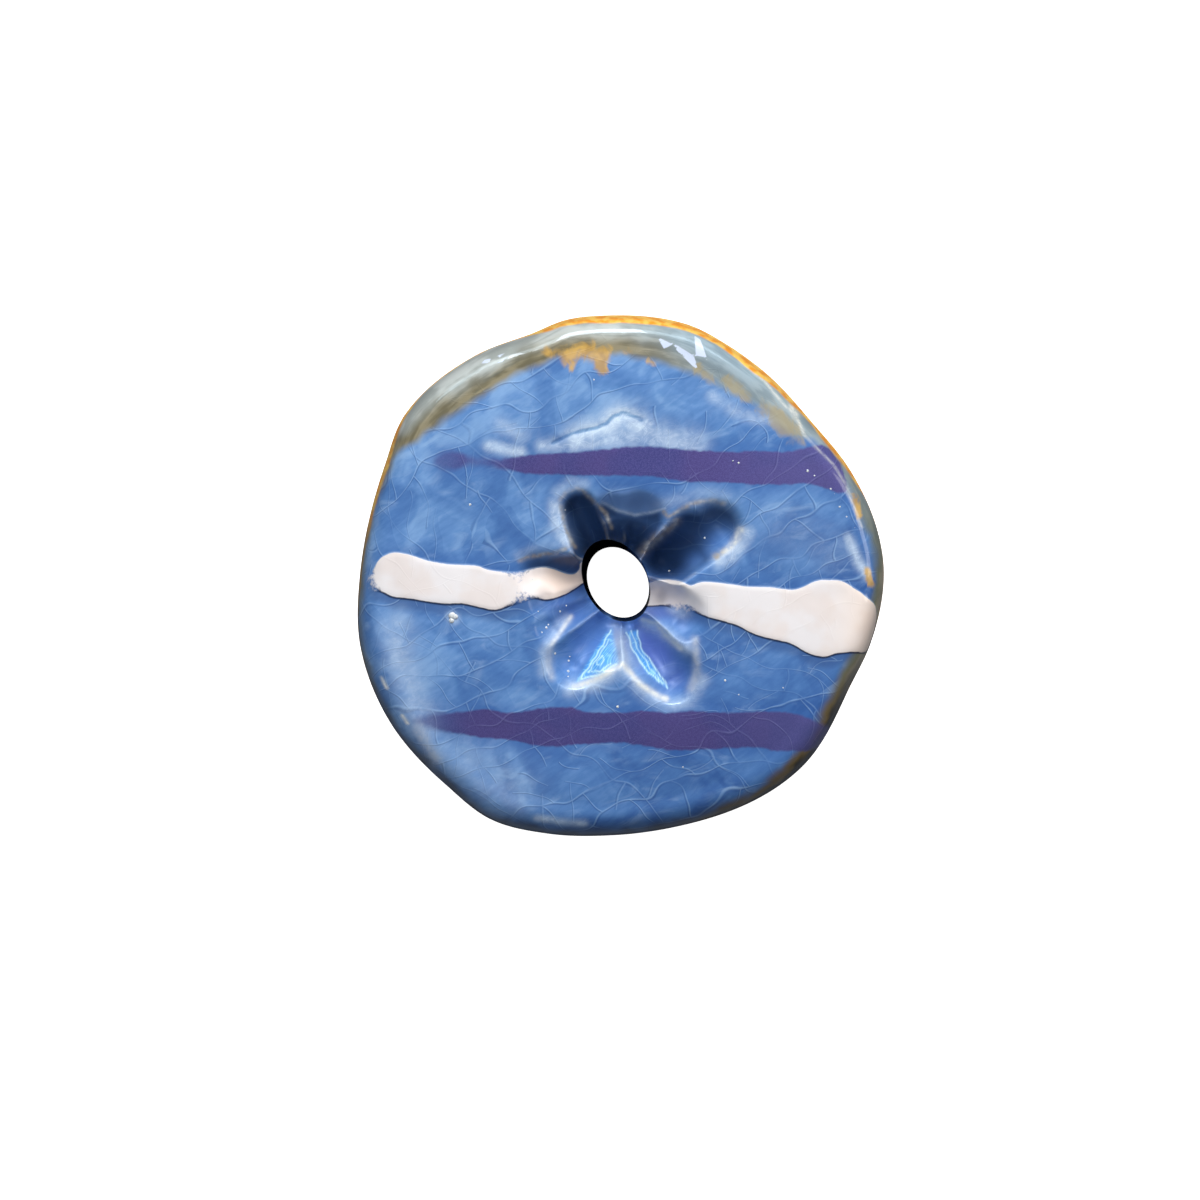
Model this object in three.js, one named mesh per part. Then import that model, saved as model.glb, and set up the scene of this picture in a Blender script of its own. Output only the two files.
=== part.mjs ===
// A glazed ceramic ring doughnut, hand-built: a thick round slab of clay with a hole poked
// through it and finger marks pressed down round the hole, like a flower.
// Millimetres, +Z up. The origin is under the middle of the outline, on the foot.

import * as THREE from "three";
import { mergeVertices } from "three/addons/utils/BufferGeometryUtils.js";

// The slab
const THICKNESS = 22;
const BELLY_HEIGHT = 8.5;
const FOOT_INSET = 4;
const SHOULDER_REACH = 6.5;
const SHOULDER_DROP = 1.2;
const SHOULDER_FULLNESS = 3;
const CROWN_RADIUS = 26;

// The hole, an oval that widens and leans a little on its way up
const HOLE_CENTRE = new THREE.Vector2(-0.46, -1.34);
const HOLE_HALF_LENGTH = 7.0;
const HOLE_HALF_WIDTH = 5.6;
const HOLE_DIRECTION = THREE.MathUtils.degToRad(118);
const HOLE_LENGTH_FLARE = 1.25;
const HOLE_WIDTH_FLARE = 0.35;
const HOLE_LEAN = new THREE.Vector2(-0.45, 0.35);
const HOLE_EDGE = 0.9;

// The slightly uneven outline: direction in degrees, distance from the middle
const OUTLINE = [
  [0, 50.4], [10, 49.9], [24, 48.4], [39, 46.9], [56, 47.8], [65, 48.6], [75, 49.7], [92, 49.8],
  [102, 50.0], [111, 49.3], [124, 50.5], [143, 51.5], [155, 49.8], [167, 49.3], [180, 49.9],
  [195, 51.6], [212, 52.3], [230, 52.2], [242, 52.9], [254, 51.4], [268, 49.8], [284, 49.3],
  [313, 50.5], [333, 48.8], [345, 49.6],
];

// The finger marks: each is one or two grooves from a tip, out on the slab, down to a root at
// the hole, listed from the top left and round to the left
const FINGER_MARKS = [
  { tip: [-7.8, 12.2], tipWidth: 3.6, tipDepth: 5.5, root: [-4.7, 5.3], rootWidth: 4.6 },
  { tip: [-1.6, 10.6], tipWidth: 4.6, tipDepth: 4.0, root: [-0.6, 5.8], rootWidth: 3.0 },
  { tip: [3.4, 10.4], tipWidth: 5.2, tipDepth: 4.6, root: [2.2, 5.7], rootWidth: 3.2 },
  { tip: [13.0, 8.6], tipWidth: 3.6, tipDepth: 4.6, root: [8.0, 3.2], rootWidth: 4.0 },
  { tip: [18.3, 9.1], tipWidth: 4.9, tipDepth: 4.0, root: [8.5, 2.6], rootWidth: 5.0 },
  { tip: [11.4, -7.9], tipWidth: 4.8, tipDepth: 3.2, root: [6.6, -4.1], rootWidth: 4.4 },
  { tip: [9.6, -19.0], tipWidth: 5.1, tipDepth: 4.8, root: [3.3, -10.4], rootWidth: 4.2 },
  { tip: [4.2, -16.2], tipWidth: 3.7, tipDepth: 4.4, root: [1.6, -9.6], rootWidth: 3.2 },
  { tip: [-2.4, -14.4], tipWidth: 3.4, tipDepth: 4.2, root: [-1.2, -9.6], rootWidth: 3.0 },
  { tip: [-8.8, -16.2], tipWidth: 5.1, tipDepth: 4.8, root: [-2.8, -9.3], rootWidth: 4.4 },
  { tip: [-12.4, -9.5], tipWidth: 3.6, tipDepth: 2.8, root: [-5.9, -5.3], rootWidth: 3.4 },
  { tip: [-13.0, -4.6], tipWidth: 4.2, tipDepth: 2.8, root: [-6.6, -3.0], rootWidth: 3.8 },
  { tip: [-15.3, 0.2], tipWidth: 4.1, tipDepth: 2.8, root: [-6.8, -0.2], rootWidth: 4.0 },
];
const ROOT_DEPTH = 12.6;
const ROOT_ROUNDING = 3;
const FLOOR_CURVE = 1.5;
const LIP_ROUNDING = 1.4;
const RIDGE_ROUNDING = 2;

// The gentle hand-made waves of the top: which way each one runs and its phase, in degrees
const WAVES = [
  { height: 0.25, length: 56, direction: 22, phase: 46 },
  { height: 0.2, length: 36, direction: 115, phase: 80 },
];

// How finely the surface is divided
const SIDES = 108;
const MARK_STEP = 1.0;
const MARK_REACH = 28;
const TOP_STEP = 3.4;
const ARC_STEPS = 6;
const EDGE_STEPS = 3;
const WELD_DISTANCE = 1e-3;

const MEAN_RADIUS = OUTLINE.reduce((sum, knot) => sum + knot[1], 0) / OUTLINE.length;
const MEAN_HOLE = (HOLE_HALF_LENGTH + HOLE_HALF_WIDTH) / 2;

// The blue glaze that covers the top
function glazeMaterial() {
  return new THREE.MeshStandardMaterial({
    name: "blue_glaze",
    color: new THREE.Color(0x6a93c3),
    roughness: 0.12,
    metalness: 0,
  });
}

// Distance of the outline from the middle, by a smooth curve through the knots that joins its ends
function outlineRadius(degrees) {
  const count = OUTLINE.length;
  const knot = (i) => {
    const turn = Math.floor(i / count);
    const [at, radius] = OUTLINE[i - turn * count];
    return [at + 360 * turn, radius];
  };
  const next = OUTLINE.findIndex(([at]) => at > degrees);
  const first = (next < 0 ? count : next) - 1;
  const [before, start, end, after] = [first - 1, first, first + 1, first + 2].map(knot);
  const span = end[0] - start[0];
  const startSlope = (end[1] - before[1]) / (end[0] - before[0]) * span;
  const endSlope = (after[1] - start[1]) / (after[0] - start[0]) * span;
  const t = (degrees - start[0]) / span;
  const rise = end[1] - start[1];
  const bend = startSlope + endSlope - 2 * rise;
  return start[1] + t * (startSlope + t * (3 * rise - 2 * startSlope - endSlope + t * bend));
}

// A point on the wall of the hole, in a direction from the hole's centre, at a height of the slab
function holePoint(angle, height) {
  const up = height / THICKNESS;
  const along = HOLE_HALF_LENGTH + HOLE_LENGTH_FLARE * up;
  const across = HOLE_HALF_WIDTH + HOLE_WIDTH_FLARE * up;
  const turned = angle - HOLE_DIRECTION;
  const radius = along * across / Math.hypot(across * Math.cos(turned), along * Math.sin(turned));
  return new THREE.Vector2(Math.cos(angle), Math.sin(angle))
    .multiplyScalar(radius)
    .add(HOLE_CENTRE)
    .addScaledVector(HOLE_LEAN, up);
}

// The larger of two depths, with the ridge where they meet rounded off
function roundedMax(a, b, rounding) {
  const overlap = Math.max(rounding - Math.abs(a - b), 0) / rounding;
  return Math.max(a, b) + overlap * overlap * rounding / 4;
}

// The smaller of two depths, with the corner where they meet rounded off
function roundedMin(a, b, rounding) {
  return -roundedMax(-a, -b, rounding);
}

// Depth of one finger mark's bowl below the slab's top, which is negative outside the bowl. Its
// floor curves down more steeply towards the root.
function bowlDepth(mark, x, y) {
  const [tipX, tipY] = mark.tip;
  const alongX = mark.root[0] - tipX;
  const alongY = mark.root[1] - tipY;
  const raw = ((x - tipX) * alongX + (y - tipY) * alongY) / (alongX ** 2 + alongY ** 2);
  const s = THREE.MathUtils.clamp(raw, 0, 1);
  const width = THREE.MathUtils.lerp(mark.tipWidth, mark.rootWidth, s);
  const floor = THREE.MathUtils.lerp(mark.tipDepth, ROOT_DEPTH, s ** FLOOR_CURVE);
  const distance = Math.hypot(x - tipX - s * alongX, y - tipY - s * alongY);
  return floor * (1 - (distance / width) ** 2);
}

// Depth of all the finger marks together, with their lips rounded off
function pressedDepth(x, y) {
  const bowls = FINGER_MARKS.map((mark) => bowlDepth(mark, x, y));
  const deepest = bowls.reduce((a, b) => roundedMax(a, b, RIDGE_ROUNDING));
  const rounded = (deepest + Math.hypot(deepest, LIP_ROUNDING)) / 2;
  return roundedMin(rounded, ROOT_DEPTH, ROOT_ROUNDING);
}

// Height of the hand-made waves at a point of the top
function waveHeight(x, y) {
  return WAVES.reduce((sum, wave) => {
    const run = THREE.MathUtils.degToRad(wave.direction);
    const along = x * Math.cos(run) + y * Math.sin(run);
    const turn = 2 * Math.PI * along / wave.length + THREE.MathUtils.degToRad(wave.phase);
    return sum + wave.height * Math.sin(turn);
  }, 0);
}

// Cross-section of the round slab, from the foot's edge up the rim, over the top, down the hole
// and back along the foot
function slabSection() {
  const section = [];
  const rim = MEAN_RADIUS;
  const footEdge = rim - FOOT_INSET;
  for (let i = 0; i < ARC_STEPS; i++) {
    const a = i / ARC_STEPS * Math.PI / 2;
    section.push([footEdge + FOOT_INSET * Math.sin(a), BELLY_HEIGHT * (1 - Math.cos(a))]);
  }
  const shoulder = rim - SHOULDER_REACH;
  const shoulderRise = THICKNESS - SHOULDER_DROP - BELLY_HEIGHT;
  const power = 2 / SHOULDER_FULLNESS;
  for (let i = 0; i < ARC_STEPS; i++) {
    const a = i / ARC_STEPS * Math.PI / 2;
    const out = SHOULDER_REACH * Math.cos(a) ** power;
    section.push([shoulder + out, BELLY_HEIGHT + shoulderRise * Math.sin(a) ** power]);
  }
  const holeEdge = MEAN_HOLE + HOLE_EDGE;
  const outerRings = Math.round((shoulder - MARK_REACH) / TOP_STEP);
  const innerRings = Math.round((MARK_REACH - holeEdge) / MARK_STEP);
  const topHeight = (radius) => {
    const fall = Math.max(radius - CROWN_RADIUS, 0) / (shoulder - CROWN_RADIUS);
    return THICKNESS - SHOULDER_DROP * fall ** 2;
  };
  for (let i = 0; i < outerRings; i++) {
    const radius = THREE.MathUtils.lerp(shoulder, MARK_REACH, i / outerRings);
    section.push([radius, topHeight(radius)]);
  }
  for (let i = 0; i < innerRings; i++) {
    const radius = THREE.MathUtils.lerp(MARK_REACH, holeEdge, i / innerRings);
    section.push([radius, topHeight(radius)]);
  }
  for (let i = 0; i <= EDGE_STEPS; i++) {
    const a = i / EDGE_STEPS * Math.PI / 2;
    section.push([holeEdge - HOLE_EDGE * Math.sin(a), THICKNESS - HOLE_EDGE * (1 - Math.cos(a))]);
  }
  section.push([MEAN_HOLE, THICKNESS / 2]);
  section.push([MEAN_HOLE, HOLE_EDGE]);
  section.push([holeEdge, 0]);
  section.push([(holeEdge + footEdge) / 2, 0]);
  section.push(section[0]);
  return section.map(([radius, height]) => new THREE.Vector2(radius, height));
}

// Moves one point of the round slab to its place: the rim goes out to the outline, the hole's
// wall to its oval, and the finger marks press down what lies under them
function shapePoint(point) {
  const angle = Math.atan2(point.y, point.x);
  const degrees = THREE.MathUtils.euclideanModulo(THREE.MathUtils.radToDeg(angle), 360);
  const outward = (Math.hypot(point.x, point.y) - MEAN_HOLE) / (MEAN_RADIUS - MEAN_HOLE);
  const radius = outlineRadius(degrees);
  const rim = new THREE.Vector2(Math.cos(angle), Math.sin(angle)).multiplyScalar(radius);
  const place = holePoint(angle, point.z).lerp(rim, outward);
  const change = waveHeight(place.x, place.y) - pressedDepth(place.x, place.y);
  point.set(place.x, place.y, point.z * (1 + change / THICKNESS));
}

// Splits each four-sided cell of the surface along its shorter diagonal, which keeps the lips of
// the finger marks clean. The lathe lists a cell as the two triangles a, b, d and c, d, b.
function splitCellsShort(geometry) {
  const positions = geometry.getAttribute("position");
  const corner = (i) => new THREE.Vector3().fromBufferAttribute(positions, i);
  const old = geometry.getIndex().array;
  const index = [];
  for (let i = 0; i < old.length; i += 6) {
    const [a, b, d, c] = old.subarray(i, i + 4);
    const swap = corner(a).distanceTo(corner(c)) < corner(b).distanceTo(corner(d));
    index.push(...(swap ? [a, b, c, a, c, d] : [a, b, d, c, d, b]));
  }
  geometry.setIndex(index);
}

// The whole doughnut as one closed body
function doughnutGeometry() {
  const blank = new THREE.LatheGeometry(slabSection(), SIDES);
  blank.rotateX(Math.PI / 2);
  blank.deleteAttribute("normal");
  blank.deleteAttribute("uv");
  const geometry = mergeVertices(blank, WELD_DISTANCE);
  const positions = geometry.getAttribute("position");
  const point = new THREE.Vector3();
  for (let i = 0; i < positions.count; i++) {
    shapePoint(point.fromBufferAttribute(positions, i));
    positions.setXYZ(i, point.x, point.y, point.z);
  }
  splitCellsShort(geometry);
  geometry.computeBoundingBox();
  const middle = geometry.boundingBox.getCenter(new THREE.Vector3());
  geometry.translate(-middle.x, -middle.y, 0);
  geometry.computeVertexNormals();
  return geometry;
}

const doughnut = new THREE.Mesh(doughnutGeometry(), glazeMaterial());
doughnut.name = "ceramic_doughnut";

const group = new THREE.Group();
group.add(doughnut);

export default group;
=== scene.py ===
import math

import bpy
import numpy as np
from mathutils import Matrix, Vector


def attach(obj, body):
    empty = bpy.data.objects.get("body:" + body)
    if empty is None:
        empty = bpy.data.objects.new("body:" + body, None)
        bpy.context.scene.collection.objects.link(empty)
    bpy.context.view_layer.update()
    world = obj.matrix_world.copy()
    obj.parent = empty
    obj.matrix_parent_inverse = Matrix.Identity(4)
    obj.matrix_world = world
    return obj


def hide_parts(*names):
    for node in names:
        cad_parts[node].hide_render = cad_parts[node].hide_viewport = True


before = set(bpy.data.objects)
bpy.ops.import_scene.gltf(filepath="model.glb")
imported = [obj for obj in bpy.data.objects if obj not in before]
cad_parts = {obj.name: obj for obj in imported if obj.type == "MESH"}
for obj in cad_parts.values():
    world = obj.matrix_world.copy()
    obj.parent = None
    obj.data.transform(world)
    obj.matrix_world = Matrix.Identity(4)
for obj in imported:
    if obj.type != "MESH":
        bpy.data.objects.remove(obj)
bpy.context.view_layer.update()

# Looks of a hand-built ceramic ring doughnut. Shapes are worked out in millimetres from the
# same named sizes as the solid, and become metres where a mesh is made.
MM = 0.001
NODE = "ceramic_doughnut"

# The slab
THICKNESS = 22
BELLY_HEIGHT = 8.5
FOOT_INSET = 4
SHOULDER_REACH = 6.5
SHOULDER_DROP = 1.2
SHOULDER_FULLNESS = 3
CROWN_RADIUS = 26

# The hole, an oval that widens and leans a little on its way up
HOLE_CENTRE = np.array([-0.46, -1.34])
HOLE_HALF_LENGTH = 7
HOLE_HALF_WIDTH = 5.6
HOLE_DIRECTION = math.radians(118)
HOLE_LENGTH_FLARE = 1.25
HOLE_WIDTH_FLARE = 0.35
HOLE_LEAN = np.array([-0.45, 0.35])
HOLE_EDGE = 0.9

# The uneven outline: direction in degrees, distance from the middle
OUTLINE = [
    (0, 50.4), (10, 49.9), (24, 48.4), (39, 46.9), (56, 47.8), (65, 48.6), (75, 49.7), (92, 49.8),
    (102, 50), (111, 49.3), (124, 50.5), (143, 51.5), (155, 49.8), (167, 49.3), (180, 49.9),
    (195, 51.6), (212, 52.3), (230, 52.2), (242, 52.9), (254, 51.4), (268, 49.8), (284, 49.3),
    (313, 50.5), (333, 48.8), (345, 49.6),
]

# The finger marks: tip x and y, width and depth there, then root x and y and width
FINGER_MARKS = [
    (-7.8, 12.2, 3.6, 5.5, -4.7, 5.3, 4.6),
    (-1.6, 10.6, 4.6, 4, -0.6, 5.8, 3),
    (3.4, 10.4, 5.2, 4.6, 2.2, 5.7, 3.2),
    (13, 8.6, 3.6, 4.6, 8, 3.2, 4),
    (18.3, 9.1, 4.9, 4, 8.5, 2.6, 5),
    (11.4, -7.9, 4.8, 3.2, 6.6, -4.1, 4.4),
    (9.6, -19, 5.1, 4.8, 3.3, -10.4, 4.2),
    (4.2, -16.2, 3.7, 4.4, 1.6, -9.6, 3.2),
    (-2.4, -14.4, 3.4, 4.2, -1.2, -9.6, 3),
    (-8.8, -16.2, 5.1, 4.8, -2.8, -9.3, 4.4),
    (-12.4, -9.5, 3.6, 2.8, -5.9, -5.3, 3.4),
    (-13, -4.6, 4.2, 2.8, -6.6, -3, 3.8),
    (-15.3, 0.2, 4.1, 2.8, -6.8, -0.2, 4),
]
ROOT_DEPTH = 12.6
ROOT_ROUNDING = 3
FLOOR_CURVE = 1.5
LIP_ROUNDING = 1.4
RIDGE_ROUNDING = 2

# The hand-made waves of the top and finer ripples: height, length, direction and phase
WAVES = [(0.25, 56, 22, 46), (0.2, 36, 115, 80)]
RIPPLES = [
    (0.045, 15, 70, 10), (0.03, 10.5, 155, 200), (0.015, 7.5, 20, 95), (0.006, 5.2, 100, 310),
    (0.004, 4.1, 47, 150),
]

# The glaze stripes, as outlines on the top
WHITE_LEFT = [
    (-47.9, -0.5), (-47.1, 0.9), (-46.3, 2.4), (-45.2, 3.5), (-43.2, 4.3), (-40.8, 4), (-38.4, 3.3),
    (-35.7, 2.5), (-31.7, 2), (-27.5, 1.8), (-25.2, 1), (-23.1, 0.7), (-19.6, 0.5), (-16.9, 1.2),
    (-14.4, 1.5), (-12.3, 1), (-10.1, 0.2), (-8.7, 0.3), (-7.9, 1.2), (-7.6, 2.5), (-5.5, 2.6),
    (-5.5, -0.8), (-7, -1.4), (-9.1, -2.8), (-11.2, -3.9), (-14, -4.7), (-16.5, -4.3), (-18.6, -5),
    (-20.7, -5.6), (-22.8, -6.4), (-24.5, -6.6), (-27.3, -6), (-30.2, -5.4), (-33, -5.5),
    (-36.4, -5.1), (-40, -4.5), (-43.5, -4.1), (-45.6, -3), (-47.3, -2.7),
]
WHITE_RIGHT = [
    (3.5, -1.6), (5.5, -1.4), (8, -0.8), (11.2, -1.1), (13.3, -2), (15.2, -1.3), (17.9, -1.4),
    (21.5, -1.8), (24.3, -2.2), (28.7, -2.3), (32.3, -2.8), (34.6, -2.3), (37.1, -1.1), (39.7, -0.9),
    (41.8, -1.1), (44, -2.2), (46.9, -4.3), (48.4, -5.8), (48.8, -7.6), (48.5, -9.9), (47.8, -12.3),
    (46.9, -14.4), (46.2, -14.7), (44, -14.6), (41, -14.9), (39, -15.5), (37.4, -15.4),
    (35.3, -14.7), (32.3, -13), (30.2, -12.5), (27.6, -11.9), (25.1, -11.1), (22.2, -9.6),
    (19.2, -8.7), (16.4, -7.9), (13.5, -6.7), (10.6, -6.6), (8.8, -5.7), (5.2, -5.8), (3.5, -5.8),
]
PURPLE_UPPER = [
    (-35.7, 21.7), (-34.4, 23.2), (-32.5, 23.7), (-30.6, 23.4), (-29, 22.7), (-27.5, 22.3),
    (-24.5, 22.3), (-22.8, 22.1), (-17.8, 22.7), (-12.7, 23.1), (-5.9, 23.6), (-0.2, 24.2),
    (4, 24.4), (8, 24.2), (12.4, 23.8), (16.4, 23.6), (21.5, 23.4), (25.1, 23.6), (30.6, 23.4),
    (35.3, 24.2), (37.8, 24.8), (39.6, 24.2), (41.4, 21.9), (42.7, 18.6), (43, 16.2), (41.8, 15.6),
    (40.3, 16), (37.8, 16.8), (35.3, 17.4), (30.6, 17.2), (25.1, 17.2), (21.5, 17.5), (16.4, 17.7),
    (12.4, 17.7), (8, 18.5), (4, 18.8), (-0.2, 18.9), (-5.9, 18.9), (-12.7, 19.1), (-17.8, 19.3),
    (-22.8, 20.2), (-24.5, 20.6), (-27.5, 20.8), (-29, 20.8), (-30.6, 20.2), (-32.5, 19.8),
    (-34.4, 20.2),
]
PURPLE_LOWER = [
    (-39.3, -27.7), (-36.4, -26.3), (-33.6, -26.2), (-28.7, -25.8), (-25.6, -25.4), (-22.4, -26.1),
    (-19.7, -26.1), (-16.1, -25.4), (-11.9, -25.1), (-9.1, -25.2), (-6.2, -26.1), (-0.7, -26.1),
    (4, -25.8), (9.1, -26.1), (12.7, -25.8), (16.4, -25.9), (21.5, -26.1), (27, -25.9), (28.7, -26),
    (32.3, -26.1), (35.3, -27.1), (38.2, -28.2), (40.5, -29.5), (39.6, -32), (38.2, -32.9),
    (35.3, -33.4), (32.3, -33.4), (28.7, -33.4), (27, -32.8), (21.5, -32.8), (16.4, -33),
    (12.7, -33.2), (9.1, -33.2), (4, -32.3), (-0.7, -31.8), (-6.2, -32.1), (-9.1, -32.2),
    (-11.9, -32.6), (-16.1, -32.4), (-19.7, -31.5), (-22.4, -31.1), (-25.6, -31), (-28.7, -30.5),
    (-33.6, -29.7), (-36.4, -29.2),
]
WHITE_RELIEF = 0.16
PURPLE_RELIEF = 0.04
STRIPE_EDGE = (-0.3, 0.7)
EDGE_LINE = 0.28
STRIPE_SHADE = 1.8
SHADE_SLANT = 0.3
RELIEF_FADE = 4

# Spots where the edge of a stripe is ragged or fades away: x, y and radius
RAGGED_SPOTS = [(-19.3, -2.4, 2.6), (11.8, -6.6, 2), (-47.6, -1.4, 1.8)]
FADED_SPOTS = [(-38.5, -28, 5.5), (-34, 21.7, 4.5), (-26.5, 21.4, 4), (39.5, -31, 3)]

# Glaze zones round the rim: direction in degrees, how far in from the outline the zone reaches
OLIVE_REACH = [
    (0, 2.2), (9, 2), (15, 2.5), (21, 2.7), (29, 2.2), (35, 2.2), (39, 5), (49, 5.6), (54, 6.3),
    (59, 7.6), (65, 7.9), (70, 8.6), (76, 8.9), (84, 8.4), (93, 8), (100, 7.6), (106, 6.7),
    (111, 6.4), (118, 7.4), (125, 7.9), (132, 7.7), (140, 6.5), (146, 5.4), (150, 2.8), (156, 1.2),
    (180, 0.9), (205, 1), (240, 1.3), (270, 1.3), (295, 1.9), (315, 2.7), (333, 3), (345, 2.8),
]
AMBER_REACH = [
    (0, 0.1), (10, 0.1), (18, 0.3), (21, 0.7), (26, 0.95), (33, 0.95), (40, 0.85), (46, 1.2),
    (50, 1.4), (58, 1.8), (63, 1.6), (69, 1.4), (75, 1.7), (80, 1.9), (90, 1.9), (100, 1.6),
    (106, 1.3), (110, 0.7), (115, 0.4), (125, 0.35), (133, 0.35), (138, 0.45), (143, 0.65),
    (148, 0.85), (156, 0.95), (170, 0.8), (190, 0.4), (220, 0.1), (270, 0.1), (300, 0.1), (330, 0.1),
]

# Ochre in the olive glaze: width, strength, then points
OCHRE_LINES = [
    (1.3, 0.6, [(-14, 42.4), (-10.2, 42.6)]),
    (1.9, 1, [(-9.8, 41.6), (-6.5, 42.6), (-3.2, 41.6)]),
    (1.3, 1, [(-4.4, 41.4), (-3.4, 39)]),
    (1, 0.9, [(-8.8, 41), (-9.2, 39.4)]),
    (0.9, 0.7, [(1, 42.6), (2.4, 42)]),
    (0.8, 0.7, [(5.3, 40.7), (6.3, 40.2)]),
    (1.2, 0.8, [(14.6, 39.4), (17.1, 37)]),
    (1.5, 0.8, [(20, 37.2), (21.8, 35.4), (23.8, 33.9)]),
    (2.1, 0.95, [(27.8, 31.6), (30.2, 29.4), (32.6, 27.4)]),
    (1, 0.7, [(33, 26.6), (34.2, 25.2)]),
    (0.9, 1, [(44.4, 14.6), (45.4, 11.4)]),
    (0.8, 1, [(46.9, 0.9), (47.5, -1.6)]),
]

# Painted reflections of a window on the olive glaze, as pale patches
REFLECTION_PATCHES = [
    [(6.8, 45.4), (10, 43.85), (8.2, 42.9)],
    [(9.85, 44.3), (13.95, 41.7), (14.86, 38.5), (10.6, 42.65)],
    [(13.95, 45.7), (15.2, 44.8), (16.7, 40.5), (15.8, 41.4), (14.25, 41.7)],
    [(-26.85, 40.2), (-25.8, 41.05), (-24.6, 41.25), (-25, 40.3)],
    [(-23.9, 41.65), (-21.9, 42.3), (-22.95, 41.35)],
    [(-24.1, 40.1), (-21.4, 41.75), (-22.4, 40.5)],
]

# Painted sky reflections in the lower finger marks: cyan pools and light threads winding through
SKY_REFLECTION_PATCHES = [
    [(-1.6, -10.2), (-2.8, -11.2), (-5.6, -15.6), (-8.6, -20.4), (-4.4, -19.4), (-0.2, -17.1),
     (-0.7, -14.4)],
    [(1.1, -10.8), (3.1, -10.5), (3.7, -13.7), (6.2, -17.3), (8.9, -21.4), (7.4, -20.6), (5, -18.7),
     (2.4, -14.6)],
]
REFLECTION_THREADS = [
    (0.14, 1, [(-1.9, -10.4), (-3.5, -13.4), (-5.6, -16.7), (-7.8, -19.7), (-5.2, -19.3),
        (-2.8, -18.3), (-0.9, -16.9)]),
    (0.12, 0.9, [(-2.2, -12.4), (-4.2, -15.5), (-6.2, -18.5), (-4, -18.2), (-1.9, -16.8)]),
    (0.12, 0.8, [(-3.5, -15.4), (-4.5, -16.4), (-4.4, -17.1), (-3.6, -17), (-3.3, -16.1),
        (-3.5, -15.4)]),
    (0.14, 1, [(1.1, -10.9), (2.5, -14.6), (5.3, -18.6), (7.5, -20.3)]),
    (0.12, 0.8, [(2.1, -10.7), (3.2, -14), (5.8, -17.9), (8.2, -20.9)]),
    (0.12, 0.9, [(3.2, -10.5), (3.8, -13.7), (6.3, -17.2), (9, -21.4)]),
]
# How far the threads sway along x and y, and on which waves: radians per millimetre of x and y
REFLECTION_THREAD_SWAY = 0.12
REFLECTION_THREAD_WAVES = [(0.8, 2.3), (2.1, -1.2)]
SKY_REFLECTION_EDGE = (-0.4, 0.5)

# A slanting face in the upper middle finger mark, painted lighter than the painted shade round
# it, and places where the neighbour's painted shade is lifted
FACET = [
    (-4.6, 15.2), (-1, 16.4), (2.7, 16.3), (6, 15.4), (8.6, 12.6), (6, 11.9), (2.7, 11.4),
    (-0.5, 12.2), (-3, 13.6),
]
FACET_EDGE = (-0.9, 0.9)
LIT_SPOTS = [(19.4, 5.6, 3.4, 1), (14, 2.6, 2.2, 0.6)]
# Spots of extra painted shade in the lower left finger marks
SHADE_SPOTS = [(-10.5, -7.2, 3.4, 0.7), (-8.2, -11.5, 2.4, 0.4)]

# Distances from a zone's edge that stand for places well away from it
WELL_OUTSIDE = -1
WELL_INSIDE = 20

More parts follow.
